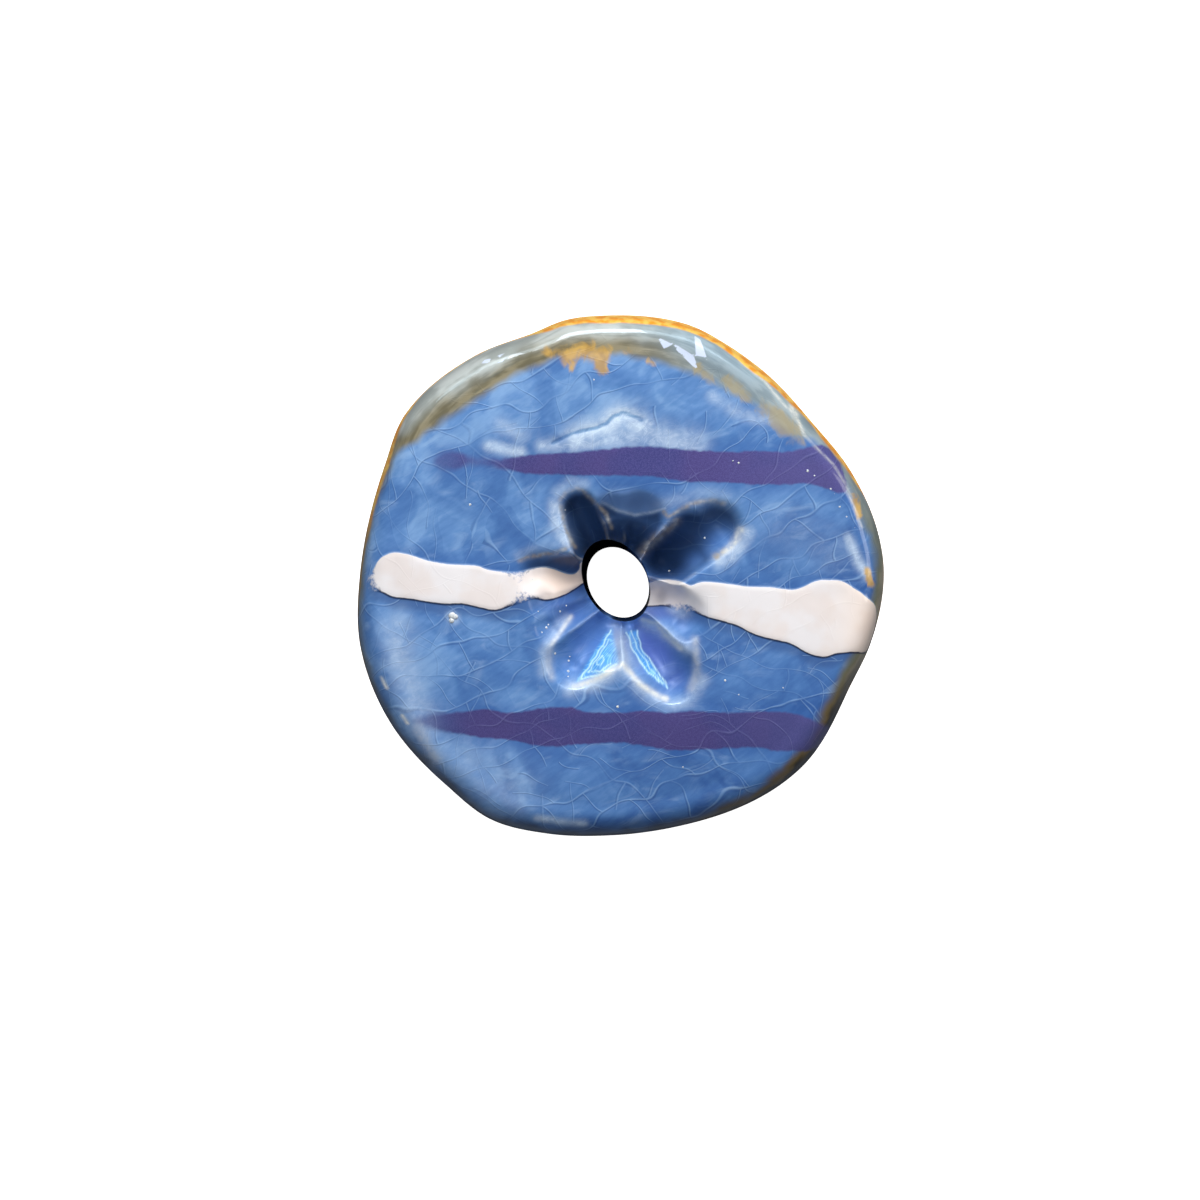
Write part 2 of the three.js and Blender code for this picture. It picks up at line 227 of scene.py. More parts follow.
# Lines where the glaze breaks pale over lips and ridges, with painted highlights: width, strength,
# then points
BREAK_AND_HIGHLIGHT_LINES = [
    (0.4, 0.6, [(-11.4, 13.2), (-11, 10.9), (-10.4, 8.6), (-9.5, 6.5), (-8.7, 5.4)]),
    (0.5, 0.35, [(-11.6, 14.3), (-10.4, 15.6), (-8.5, 16.6), (-7.2, 16)]),
    (0.4, 0.6, [(-7.2, 16), (-5.9, 14.7), (-4.2, 13.2), (-2.8, 11.7), (-1.7, 9)]),
    (0.4, 0.65, [(-19.2, 2.7), (-17.3, 3.5), (-14.8, 3.9), (-12.3, 4.3), (-10.4, 5), (-9.1, 5.8)]),
    (0.4, 0.65, [(8.2, 12), (8.9, 11.1), (10.1, 11.5), (11.4, 12.4)]),
    (0.5, 0.55, [(11.4, 12.4), (13.1, 13.4), (15, 13.9), (17.5, 14.1), (19.6, 13.6)]),
    (0.9, 0.5, [(10.5, 10.5), (8.2, 8.2), (5.9, 6.2), (4.2, 4.6)]),
    (0.7, 0.85, [(22.8, 8.6), (22.2, 7.1), (21.3, 5.8), (20, 4.6), (18.2, 3.5)]),
    (0.5, 0.8, [(4.2, -8.5), (5.9, -9), (7, -9.4), (8, -10.9), (9.7, -12.6), (11.4, -14)]),
    (0.8, 0.4, [(14.1, -12.3), (14.3, -15.1), (14.4, -18.3), (13.5, -21.4)]),
    (0.55, 0.9, [(0.4, -16.8), (1.9, -18.7), (3.6, -20.6), (5.5, -21.9), (7.4, -23.1), (8.7, -23.5)]),
    (1.3, 0.2, [(-0.9, -9.6), (-0.4, -12.3), (0.2, -15.1), (0.4, -16.8)]),
    (0.6, 0.85, [(0.4, -16.8), (-1.7, -18.1), (-4, -19.5), (-6.2, -20.4), (-8.7, -21.2)]),
    (0.45, 0.6, [(-9.5, -7.9), (-10.8, -9.8), (-12.1, -11.7), (-13.3, -13.4)]),
    (0.7, 0.35, [(-13.3, -13.4), (-13.7, -16.4), (-13.1, -19.5)]),
    (1.2, 0.35, [(-38.5, -29.4), (-36.9, -32.2), (-35.2, -35)]),
    (0.3, 1, [(-45.4, -19.7), (-44.5, -21.4)]),
    (0.3, 1, [(-41.5, -26.7), (-40.5, -28.2)]),
    (0.24, 0.8, [(22.8, 40.7), (27.4, 36.9), (30.8, 32.7), (33.4, 30.3), (34.9, 26.7)]),
    (0.7, 0.9, [(32.6, 32), (33.2, 30.6)]),
    (0.22, 0.45, [(34.9, 26.7), (37.4, 24), (40.5, 21), (42.7, 17.4), (44.4, 13), (45.8, 9.2)]),
]

# White crystals in the glaze with painted sheen, most of them by the lips of the finger marks,
# and two creases with painted shade, one of them across the crystals above the upper purple stripe
HAZE_AND_SHEEN_LINES = [
    (2.2, 1, [(-9.1, 25.7), (-6.4, 27), (-2.6, 28.2), (-1.5, 29.5), (0.4, 30.3), (2.7, 29.1),
        (4.2, 28)]),
    (1.4, 0.6, [(-14.8, 24.6), (-4.7, 25.1), (0.4, 26.5), (6.1, 25.5), (14.3, 24.6)]),
    (1.2, 0.7, [(-24.9, 24.4), (-19, 23.4)]),
    (1.6, 0.4, [(-22.8, 28.4), (-19.2, 26.3)]),
    (2.6, 0.55, [(-2, 26.2), (8, 26.5), (14, 25)]),
    (1.2, 0.4, [(17.5, 34), (21.5, 31.2), (26.5, 29.5), (30, 29.8)]),
    (3.2, 0.36, [(-42.6, -10.5), (-41.8, -16), (-40, -21.5), (-37.4, -28)]),
    (0.3, 0.4, [(-3.6, 13.9), (-0.5, 12.3), (2.7, 11.5), (6, 12), (8.4, 12.7)]),
    (1.3, 0.6, [(-12.5, 13.5), (-12.3, 10.9), (-11.7, 8.6), (-10.6, 6.4)]),
    (1.2, 0.3, [(-12, 15.4), (-9.5, 17.6), (-7, 17.2)]),
    (1, 0.2, [(-19.5, 3.8), (-15.5, 5.1), (-11.5, 6)]),
    (1.2, 0.6, [(24.2, 8), (23, 5.8), (21, 3.6), (18.4, 2.2)]),
    (1.4, 0.2, [(8.2, 13.7), (11.5, 14.4), (15.5, 15.6), (20, 15)]),
    (1.2, 0.5, [(4.5, -9.2), (7.5, -10.5), (10, -12.4), (12.5, -14)]),
    (1.3, 0.4, [(1, -18.5), (4.5, -22.6), (9, -25), (13, -23.9), (15.5, -20)]),
    (1.5, 0.55, [(-0.5, -18), (-5, -20.6), (-9.5, -21.6)]),
    (1.1, 0.35, [(-10.6, -8.4), (-13, -11.6), (-14.6, -14.6), (-14.8, -18.5)]),
    (1.8, 0.45, [(0.4, -12.5), (0.3, -15.5), (1, -18)]),
    (1.2, 0.4, [(9.8, -6.2), (12, -7.2)]),
    (0.7, 0.6, [(-16, -46.2), (-10.5, -47), (-7, -47.2)]),
    (6, 0.18, [(-31, -35), (-22, -42)]),
    (5, 0.1, [(31, 9), (40, 5)]),
    (0.9, 0.7, [(-32.1, -7.9), (-31.6, -8.3)]),
    (1, 0.7, [(43.4, 7), (44.8, 3.2), (46.7, 0.2)]),
]
CREASE_LINES = [
    (0.45, 1, [(-12.9, 25.1), (-9.1, 27), (-4.5, 28), (-2.6, 28.9), (-1.5, 30.1), (0.2, 30.8),
        (1.7, 30.5), (4, 29.5)]),
    (0.45, 0.5, [(-37.4, 25.9), (-33.6, 31), (-28.8, 32.9), (-26.4, 36.3), (-21.6, 39.6),
        (-19.2, 40.9)]),
]
CREASE_DEPTH = 0.18

# The blue glaze from dark to light: level, then screen colour
BLUES = [
    (0.08, (56, 96, 160)), (0.4, (78, 121, 181)), (0.62, (99, 142, 198)), (0.98, (142, 180, 224)),
]

# The cracks' lit and dark sides: how far each lies from the middle, and where it fades
CRACK_LIT_SIDE = 0.1
CRACK_DARK_SIDE = -0.14
CRACK_SOFTNESS = (0.03, 0.18)

# Pimples of glaze that catch the light, white as painted glints: x and y, then their radius and
# how it varies in turn
PIMPLES = [
    (-10.6, 12.4), (16, 7.1), (9.3, 0.8), (-10.4, -5.8), (-11.6, -6.9), (-15.7, -6.9), (-13.8, -9.4),
    (-14.2, -10), (-15, -10.9), (-12.5, -14.9), (-9.7, -15.5), (-9.9, -16.3), (-10, -18.3),
    (-10, -19.3), (-16.9, -0.9), (21.3, 21.7), (22.4, 21.3), (35.5, 19.8), (36.8, 18.9),
    (39.9, 16.4), (40.6, 15.5), (41.6, 13), (42.9, 11.1), (43.5, 10.3), (44.4, 9), (22.4, -22.7),
    (11.8, -36.4), (-0.6, -25), (30.8, -21.4), (19.8, -20), (8, -31.4), (-5.1, 37.1), (-28.6, 13.4),
]
PIMPLE_RADIUS = 0.2
PIMPLE_SIZES = (0.7, 1, 1.3, 0.85, 1.15)
# Touching lumps of white glaze below the white stripe: x, y and radius
LUMPS = [(-32, -7.7, 0.7), (-32.1, -8.6, 0.5), (-31.4, -7.9, 0.5)]

# A pimple or lump is a low dome whose foot is sunk in the glaze, by an angle in radians
DOME_FLATNESS = 0.6
DOME_SINK = 0.3

# Lights: name, direction and height in degrees, distance and size in metres, radiance, colour,
# and whether it shows in reflections only
LIGHTS = [
    ("key", 94, 38, 1.3, (1.4, 0.8), 5.7, (1, 0.99, 0.97), False),
    ("overhead", 180, 80, 1.4, (1, 1), 1.8, (0.92, 0.96, 1), False),
    ("fill", 28, 24, 1.3, (1, 0.6), 3.5, (1, 0.95, 0.9), False),
    ("window", 97, 33, 1.3, (0.55, 0.5), 9, (0.8, 0.88, 1), True),
    ("sky", 92, 34, 1.35, (1.7, 0.4), 4, (0.7, 0.9, 1), True),
    ("side", 15, 32, 1.3, (0.6, 0.5), 3, (1, 0.97, 0.92), True),
]
WORLD_COLOUR = (0.75, 0.85, 1, 1)
WORLD_STRENGTH = 0.12
FLOOR_HALF = 3000
FLOOR_GAP = 0.2

# The camera and the part of the photo's plane that it takes in, at the height of the outline
CAMERA_DISTANCE = 1500
CAMERA_SENSOR = 36
FRAME_CENTRE = (-3.97, -4.67)
FRAME_WIDTH = 229.9
OUTLINE_HEIGHT = 8.5

# How finely the surface is divided
SIDES = 560
MARK_STEP = 0.31
MARK_REACH = 28
TOP_STEP = 0.6
SHOULDER_STEPS = 26
BELLY_STEPS = 14
EDGE_STEPS = 6
WALL_STEPS = 10
FOOT_STEPS = 6
DOME_RINGS = 6
DOME_SIDES = 20
BEND_REACH = 0.6

MEAN_RADIUS = sum(radius for _, radius in OUTLINE) / len(OUTLINE)
MEAN_HOLE = (HOLE_HALF_LENGTH + HOLE_HALF_WIDTH) / 2
SHOULDER_RADIUS = MEAN_RADIUS - SHOULDER_REACH


def smoothstep(low, high, value):
    """Rises smoothly from 0 at low to 1 at high."""
    t = np.clip((value - low) / (high - low), 0, 1)
    return t * t * (3 - 2 * t)


def smooth_between(t, start, slope, end, end_slope):
    """A part t of the way along a smooth curve between two values with these slopes."""
    first = (2 * t**3 - 3 * t**2 + 1) * start + (t**3 - 2 * t**2 + t) * slope
    return first + (3 * t**2 - 2 * t**3) * end + (t**3 - t**2) * end_slope


def round_curve(knots, degrees):
    """Smooth closed curve through (direction, value) knots, at an array of directions."""
    at, value = np.array(knots, float).T
    at = np.concatenate([at[-2:] - 360, at, at[:2] + 360])
    value = np.concatenate([value[-2:], value, value[:2]])
    slope = np.gradient(value)
    slope[1:-1] = (value[2:] - value[:-2]) / (at[2:] - at[:-2])
    i = np.clip(np.searchsorted(at, degrees, side="right") - 1, 1, len(at) - 3)
    span = at[i + 1] - at[i]
    return smooth_between((degrees - at[i]) / span, value[i], span * slope[i],
                          value[i + 1], span * slope[i + 1])


def degrees_of(x, y):
    """Direction of each point from the middle, from 0 to 360 degrees."""
    return np.degrees(np.arctan2(y, x)) % 360


def hole_points(angle, height):
    """Points on the wall of the hole, in directions from its centre, at heights of the slab."""
    up = height / THICKNESS
    along = HOLE_HALF_LENGTH + HOLE_LENGTH_FLARE * up
    across = HOLE_HALF_WIDTH + HOLE_WIDTH_FLARE * up
    turned = angle - HOLE_DIRECTION
    radius = along * across / np.hypot(across * np.cos(turned), along * np.sin(turned))
    x = HOLE_CENTRE[0] + radius * np.cos(angle) + HOLE_LEAN[0] * up
    y = HOLE_CENTRE[1] + radius * np.sin(angle) + HOLE_LEAN[1] * up
    return x, y


def rounded_max(a, b, rounding):
    """The larger of two depths, with the ridge where they meet rounded off."""
    overlap = np.maximum(rounding - np.abs(a - b), 0) / rounding
    return np.maximum(a, b) + overlap**2 * rounding / 4


def rounded_min(a, b, rounding):
    """The smaller of two depths, with the corner where they meet rounded off."""
    return -rounded_max(-a, -b, rounding)


def bowl_depth(mark, x, y):
    """Depth of one finger mark's bowl, which is negative outside it and steepest at the root."""
    tip_x, tip_y, tip_width, tip_depth, root_x, root_y, root_width = mark
    along_x, along_y = root_x - tip_x, root_y - tip_y
    raw = ((x - tip_x) * along_x + (y - tip_y) * along_y) / (along_x**2 + along_y**2)
    s = np.clip(raw, 0, 1)
    width = tip_width + (root_width - tip_width) * s
    floor = tip_depth + (ROOT_DEPTH - tip_depth) * s**FLOOR_CURVE
    distance = np.hypot(x - tip_x - s * along_x, y - tip_y - s * along_y)
    return floor * (1 - (distance / width) ** 2)


def pressed_depth(x, y):
    """Depth of all the finger marks together, with their lips and ridges rounded off."""
    deepest = bowl_depth(FINGER_MARKS[0], x, y)
    for mark in FINGER_MARKS[1:]:
        deepest = rounded_max(deepest, bowl_depth(mark, x, y), RIDGE_ROUNDING)
    rounded = (deepest + np.hypot(deepest, LIP_ROUNDING)) / 2
    return rounded_min(rounded, ROOT_DEPTH, ROOT_ROUNDING)


def wave_height(waves, x, y):
    """Sum of plane waves at each point."""
    total = 0
    for height, length, direction, phase in waves:
        run = math.radians(direction)
        along = x * math.cos(run) + y * math.sin(run)
        total = total + height * np.sin(2 * math.pi * along / length + math.radians(phase))
    return total


def segment_distance(a, b, x, y):
    """Distance of each point from the straight line between two points."""
    ex, ey = b[0] - a[0], b[1] - a[1]
    t = np.clip(((x - a[0]) * ex + (y - a[1]) * ey) / (ex**2 + ey**2), 0, 1)
    return np.hypot(x - a[0] - t * ex, y - a[1] - t * ey)


def smooth_loop(points):
    """Closed outline through the same points, with two more on a smooth curve after each."""
    p = np.array(points)
    before, after, next_after = [np.roll(p, shift, axis=0) for shift in (1, -1, -2)]
    steps = [smooth_between(t, p, (after - before) / 2, after, (next_after - p) / 2)
             for t in (0, 1 / 3, 2 / 3)]
    return [tuple(point) for point in np.stack(steps, axis=1).reshape(-1, 2)]


def inside_distance(outline, x, y):
    """Distance of each point from a closed outline, positive inside it."""
    nearest = np.full(x.shape, np.inf)
    inside = np.zeros(x.shape, bool)
    for a, b in zip(outline, outline[1:] + outline[:1]):
        nearest = np.minimum(nearest, segment_distance(a, b, x, y))
        if a[1] != b[1]:
            side = a[0] + (y - a[1]) / (b[1] - a[1]) * (b[0] - a[0])
            inside ^= ((a[1] > y) != (b[1] > y)) & (x < side)
    return np.where(inside, nearest, -nearest)


def line_strength(lines, x, y):
    """How strongly each point lies on any of the lines, from 0 to 1, fading at their ends."""
    strength = np.zeros_like(x)
    for width, most, points in lines:
        nearest = np.full(x.shape, np.inf)
        for a, b in zip(points, points[1:]):
            nearest = np.minimum(nearest, segment_distance(a, b, x, y))
        strength = np.maximum(strength, most * np.exp(-(nearest / width) ** 2))
    return strength


def spot_strength(spots, x, y):
    """How strongly each point lies in any of the round spots, from 0 to 1."""
    strength = np.zeros_like(x)
    for spot_x, spot_y, radius, *most in spots:
        distance = np.hypot(x - spot_x, y - spot_y) / radius
        strength = np.maximum(strength, (most[0] if most else 1) * np.exp(-(distance**2)))
    return strength


def crown_height(radius):
    """Height of the round slab's top at a distance from its middle."""
    fall = np.maximum(radius - CROWN_RADIUS, 0) / (SHOULDER_RADIUS - CROWN_RADIUS)
    return THICKNESS - SHOULDER_DROP * fall**2


def spaced(start, end, step):
    """Numbers from start to just before end, about a step apart."""
    return np.linspace(start, end, round(abs(end - start) / step) + 1)[:-1]


def slab_section():
    """Cross-section of the round slab: up the rim, over the top, down the hole, along the foot."""
    foot_edge = MEAN_RADIUS - FOOT_INSET
    hole_edge = MEAN_HOLE + HOLE_EDGE
    quarter = math.pi / 2
    section = []
    for a in np.arange(BELLY_STEPS) / BELLY_STEPS * quarter:
        section.append((foot_edge + FOOT_INSET * math.sin(a), BELLY_HEIGHT * (1 - math.cos(a))))
    rise = THICKNESS - SHOULDER_DROP - BELLY_HEIGHT
    power = 2 / SHOULDER_FULLNESS
    for a in np.arange(SHOULDER_STEPS) / SHOULDER_STEPS * quarter:
        out = SHOULDER_REACH * math.cos(a) ** power
        section.append((SHOULDER_RADIUS + out, BELLY_HEIGHT + rise * math.sin(a) ** power))
    outer = spaced(SHOULDER_RADIUS, MARK_REACH, TOP_STEP)
    for radius in [*outer, *spaced(MARK_REACH, hole_edge, MARK_STEP)]:
        section.append((radius, crown_height(radius)))
    for a in np.arange(EDGE_STEPS + 1) / EDGE_STEPS * quarter:
        height = THICKNESS - HOLE_EDGE * (1 - math.cos(a))
        section.append((hole_edge - HOLE_EDGE * math.sin(a), height))
    for height in np.linspace(THICKNESS - HOLE_EDGE, HOLE_EDGE, WALL_STEPS + 1)[1:]:
        section.append((MEAN_HOLE, height))
    for radius in np.linspace(hole_edge, foot_edge, FOOT_STEPS + 1)[:-1]:
        section.append((radius, 0))
    return np.array(section)


def unrolled_radius(section):
    """Radius of each section point once the rim and the foot are laid flat around the top."""
    radius = section[:, 0].copy()
    step = np.hypot(*(section - np.roll(section, -1, axis=0)).T)
    shoulder = BELLY_STEPS + SHOULDER_STEPS
    for i in range(shoulder - 1, -1, -1):
        radius[i] = radius[i + 1] + step[i]
    foot = len(section) - FOOT_STEPS
    for i in range(len(section) - 1, foot - 1, -1):
        radius[i] = radius[(i + 1) % len(section)] + step[i]
    return radius


def bend(x, y):
    """How strongly the finger-marked surface bends outward, as on lips and ridges."""
    around = pressed_depth(x + BEND_REACH, y) + pressed_depth(x - BEND_REACH, y)
    around += pressed_depth(x, y + BEND_REACH) + pressed_depth(x, y - BEND_REACH)
    return (around - 4 * pressed_depth(x, y)) / BEND_REACH**2


def zone_distance(outlines, x, y):
    """Distance of each point from the nearest of some outlines, positive inside them."""
    return np.maximum.reduce([inside_distance(outline, x, y) for outline in outlines])


class Slab:
    """The doughnut's surface as a grid of points, one row for each direction."""

    def __init__(self):
        section = slab_section()
        angle = np.arange(SIDES)[:, None] / SIDES * 2 * math.pi
        self.radius = section[None, :, 0] + 0 * angle
        self.height = section[None, :, 1] + 0 * angle
        outward = (self.radius - MEAN_HOLE) / (MEAN_RADIUS - MEAN_HOLE)
        rim = round_curve(OUTLINE, np.degrees(angle))
        hole_x, hole_y = hole_points(angle, self.height)
        self.x = x = hole_x + (rim * np.cos(angle) - hole_x) * outward
        self.y = y = hole_y + (rim * np.sin(angle) - hole_y) * outward
        self.centre = ((x.min() + x.max()) / 2, (y.min() + y.max()) / 2, 0)
        self.unroll = (unrolled_radius(section) / section[:, 0])[None, :]
        self.upper = smoothstep(BELLY_HEIGHT, THICKNESS - RELIEF_FADE, self.height)
        self.pressed = pressed_depth(x, y)
        self.whites = [smooth_loop(WHITE_LEFT), smooth_loop(WHITE_RIGHT)]
        self.white = zone_distance(self.whites, x, y)
        self.purple = zone_distance([smooth_loop(PURPLE_UPPER), smooth_loop(PURPLE_LOWER)], x, y)

    def relief(self):
        """Low relief of the glaze on the top: ripples, raised stripes and the creases."""
        height = wave_height(RIPPLES, self.x, self.y)
        height += WHITE_RELIEF * smoothstep(*STRIPE_EDGE, self.white)
        height += PURPLE_RELIEF * smoothstep(*STRIPE_EDGE, self.purple)
        height -= CREASE_DEPTH * line_strength(CREASE_LINES, self.x, self.y)
        return height * self.upper

    def glaze_values(self):
        """What the glaze needs to know at each point, under the names that its material reads."""
        x, y, whites = self.x, self.y, self.whites
        degrees = degrees_of(x, y)
        inset = round_curve(OUTLINE, degrees) - np.hypot(x, y)
        outer = self.radius > SHOULDER_RADIUS - 1
        below = outer & (self.height < BELLY_HEIGHT)
        in_hole = self.radius < MEAN_HOLE + HOLE_EDGE / 2
        bore = in_hole & (self.height < THICKNESS - HOLE_EDGE / 2)
        sway_x, sway_y = [REFLECTION_THREAD_SWAY * np.sin(a * x + b * y) for a, b in REFLECTION_THREAD_WAVES]
        return {
            "spread": np.stack([x * self.unroll, y * self.unroll, 0 * x], axis=-1),
            "white": self.white,
            "white_above": zone_distance(whites, x, y + EDGE_LINE),
            "white_below": zone_distance(whites, x, y - EDGE_LINE),
            "shade": zone_distance(whites, x - SHADE_SLANT * STRIPE_SHADE, y + STRIPE_SHADE),
            "purple": self.purple,
            "ragged": spot_strength(RAGGED_SPOTS, x, y),
            "faded": spot_strength(FADED_SPOTS, x, y),
            "lit": spot_strength(LIT_SPOTS, x, y),
            "deep_shade": spot_strength(SHADE_SPOTS, x, y),
            "facet": smoothstep(*FACET_EDGE, inside_distance(FACET, x, y)),
            "sky_reflection": smoothstep(*SKY_REFLECTION_EDGE, zone_distance(SKY_REFLECTION_PATCHES, x, y)),
            "reflection_thread": line_strength(REFLECTION_THREADS, x + sway_x, y + sway_y),
            "ochre": line_strength(OCHRE_LINES, x, y),
            "haze_and_sheen": line_strength(HAZE_AND_SHEEN_LINES, x, y),
            "crease_shade": line_strength(CREASE_LINES, x, y),
            "break_and_highlight": line_strength(BREAK_AND_HIGHLIGHT_LINES, x, y) * self.upper,
            "lip": bend(x, y) * self.upper,
            "pressed": self.pressed,
            "inset": np.where(below, WELL_OUTSIDE, inset),
            "olive": round_curve(OLIVE_REACH, degrees) - inset,
            "amber": np.where(below, WELL_INSIDE, round_curve(AMBER_REACH, degrees) - inset),
            "pale": np.where(below, WELL_OUTSIDE, zone_distance(REFLECTION_PATCHES, x, y)),
            "bore": bore.astype(float),
        }


def add_object(name, points, faces):
    """A smooth object in the scene, at the origin, from points in millimetres."""
    mesh = bpy.data.meshes.new(name)
    mesh.from_pydata((np.array(points) * MM).tolist(), [], faces)
    mesh.polygons.foreach_set("use_smooth", [True] * len(faces))
    mesh.update()
    thing = bpy.data.objects.new(name, mesh)
    bpy.context.scene.collection.objects.link(thing)
    return thing


def grid_faces(sides, rings):
    """Faces of a grid of points that joins up with itself in both directions."""
    index = np.arange(sides * rings).reshape(sides, rings)
    right = np.roll(index, -1, axis=0)
    corners = [index, right, np.roll(right, -1, axis=1), np.roll(index, -1, axis=1)]
    return np.stack(corners, axis=-1).reshape(-1, 4).tolist()


def store(mesh, name, values):
    """Stores a number or a vector for each vertex, under a name that the materials read."""
    kind, key = ("FLOAT_VECTOR", "vector") if values.ndim == 3 else ("FLOAT", "value")
    attribute = mesh.attributes.new(name, kind, "POINT")
    attribute.data.foreach_set(key, values.astype(np.float32).ravel())


def doughnut_body(slab):
    """The whole doughnut as one closed mesh, with what its glaze needs to know at each point."""
    change = wave_height(WAVES, slab.x, slab.y) - slab.pressed
    z = slab.height * (1 + change / THICKNESS) + slab.relief()
    points = np.stack([slab.x, slab.y, z], axis=-1).reshape(-1, 3) - slab.centre
    body = add_object(NODE + "_glazed", points, grid_faces(*z.shape))
    for name, values in slab.glaze_values().items():
        store(body.data, name, values)
    return body


def top_height(x, y):
    """Height of the glazed top at a point inside the shoulder."""
    outward = np.hypot(x, y) / round_curve(OUTLINE, degrees_of(x, y))
    change = wave_height(WAVES, x, y) - pressed_depth(x, y)
    return float(crown_height(outward * MEAN_RADIUS) * (1 + change / THICKNESS))


def add_dome(x, y, radius, points, faces):
    """Adds a low dome that stands on the glaze to lists of points and faces."""
    z, start = top_height(x, y), len(points)
    for ring in range(DOME_RINGS):
        a = -DOME_SINK + (math.pi / 2 + DOME_SINK) * ring / DOME_RINGS
        reach = radius * math.cos(a)
        for side in range(DOME_SIDES):
            turn = 2 * math.pi * side / DOME_SIDES
            points.append((x + reach * math.cos(turn), y + reach * math.sin(turn),
                           z + radius * DOME_FLATNESS * math.sin(a)))
    top = len(points)
    points.append((x, y, z + radius * DOME_FLATNESS))
    for low in range(start, top, DOME_SIDES):
        for side in range(DOME_SIDES):
            a, b = low + side, low + (side + 1) % DOME_SIDES
            last = low + DOME_SIDES == top
            faces.append((a, b, top) if last else (a, b, b + DOME_SIDES, a + DOME_SIDES))
    faces.append(tuple(range(start + DOME_SIDES - 1, start - 1, -1)))


def glaze_specks(slab):
    """Pimples and lumps of glaze that stand on the top, joined in one mesh."""
    points, faces = [], []
    for i, (x, y) in enumerate(PIMPLES):
        radius = PIMPLE_RADIUS * PIMPLE_SIZES[i % len(PIMPLE_SIZES)]
        add_dome(x, y, radius, points, faces)
    for x, y, radius in LUMPS:
        add_dome(x, y, radius, points, faces)
    return add_object("glaze_specks", np.array(points) - slab.centre, faces)


# Materials

def linear(colour):
    """Linear colour of three 8-bit screen levels. A socket or a linear colour stays as it is."""
    if isinstance(colour, bpy.types.NodeSocket) or len(colour) == 4:
        return colour
    return (*[((c / 255 + 0.055) / 1.055) ** 2.4 if c > 10 else c / 255 / 12.92
              for c in colour], 1)


class Nodes:
    """Short calls that add shader nodes to a tree and return the socket that comes out."""

    def __init__(self, tree):
        self.tree = tree

    def fill(self, node, inputs):
        """Gives inputs of a node a socket to read or a plain value."""
        for key, value in dict(inputs).items():
            if isinstance(value, bpy.types.NodeSocket):
                self.tree.links.new(value, node.inputs[key])
            else:
                node.inputs[key].default_value = value
        return node

    def add(self, kind, inputs=(), **settings):
        node = self.tree.nodes.new("ShaderNode" + kind)
        for name, value in settings.items():
            setattr(node, name, value)
        return self.fill(node, inputs)

    def math(self, operation, *values, clamp=False):
        inputs = dict(enumerate(values))
        return self.add("Math", inputs, operation=operation, use_clamp=clamp).outputs[0]

    def plus(self, value, *others):
        for other in others:
            value = self.math("ADD", value, other)
        return value

    def times(self, value, *others):
        for other in others:
            value = self.math("MULTIPLY", value, other)
        return value

    def minus(self, value, other, clamp=False):
        return self.math("SUBTRACT", value, other, clamp=clamp)

    def scaled(self, value, scale, shift):
        return self.math("MULTIPLY_ADD", value, scale, shift)

    def larger(self, value, other):
        return self.math("MAXIMUM", value, other)

    def absolute(self, value):
        return self.math("ABSOLUTE", value)

    def step(self, value, low, high, start=0, end=1):
        """Goes smoothly from start to end while the value goes from low to high."""
        inputs = dict(enumerate((value, low, high, start, end)))
        return self.add("MapRange", inputs, interpolation_type="SMOOTHSTEP").outputs[0]

    def mix(self, factor, first, second, blend="MIX"):
        inputs = {0: factor, 6: linear(first), 7: linear(second)}
        return self.add("Mix", inputs, data_type="RGBA", blend_type=blend).outputs[2]

    def ramp(self, value, stops):
        """Colour of a value, from pairs of a value and a colour."""
        node = self.add("ValToRGB", {0: value})
        elements = node.color_ramp.elements
        elements.remove(elements[1])
        elements[0].position, elements[0].color = stops[0][0], linear(stops[0][1])
        for position, colour in stops[1:]:
            elements.new(position).color = linear(colour)
        return node.outputs[0]

    def read(self, name):
        return self.add("Attribute", attribute_name=name).outputs["Fac"]

    def axes(self, vector):
        return list(self.add("SeparateXYZ", {0: vector}).outputs)

    def move(self, vector, scale=(1, 1, 1), shift=(0, 0, 0), turn=0):
        inputs = {"Vector": vector, "Scale": scale, "Location": shift, "Rotation": (0, 0, turn)}
        return self.add("Mapping", inputs).outputs[0]

    def drawn_out(self, vector, turn, along, across):
        """The point turned and scaled, so that a noise read there is drawn out one way."""
        return self.move(self.move(vector, turn=turn), scale=(along, across, 1))

    def noise(self, vector, size, detail=2, roughness=0.5, distortion=0):
        inputs = {"Vector": vector, "Scale": 1 / size, "Detail": detail,
                  "Roughness": roughness, "Distortion": distortion}
        return self.add("TexNoise", inputs, noise_dimensions="2D")

    def cloud(self, *settings):
        """Cloudy noise, from 0 to 1 with most of it near the middle."""
        return self.noise(*settings).outputs[0]

    def vectors(self, operation, inputs):
        return self.add("VectorMath", inputs, operation=operation).outputs[0]

    def warp(self, vector, size, amount):
        """The point moved about by a cloudy noise, by up to about half the amount."""
        colour = self.noise(vector, size).outputs["Color"]
        centred = self.vectors("SUBTRACT", {0: colour, 1: (0.5, 0.5, 0.5)})
        away = self.vectors("SCALE", {0: centred, "Scale": amount})
        return self.vectors("ADD", {0: vector, 1: away})

    def chance(self, first, second):
        """A number from 0 to 1 that seems random, one for each pair of whole numbers."""
        pair = self.add("CombineXYZ", {0: first, 1: second}).outputs[0]
        noise = self.add("TexWhiteNoise", {"Vector": pair}, noise_dimensions="2D")
        return noise.outputs["Value"]

    def from_nearest(self, value, size):
        """Signed distance of a value from the nearest whole number, times a size."""
        return self.times(self.minus(value, self.math("ROUND", value)), size)


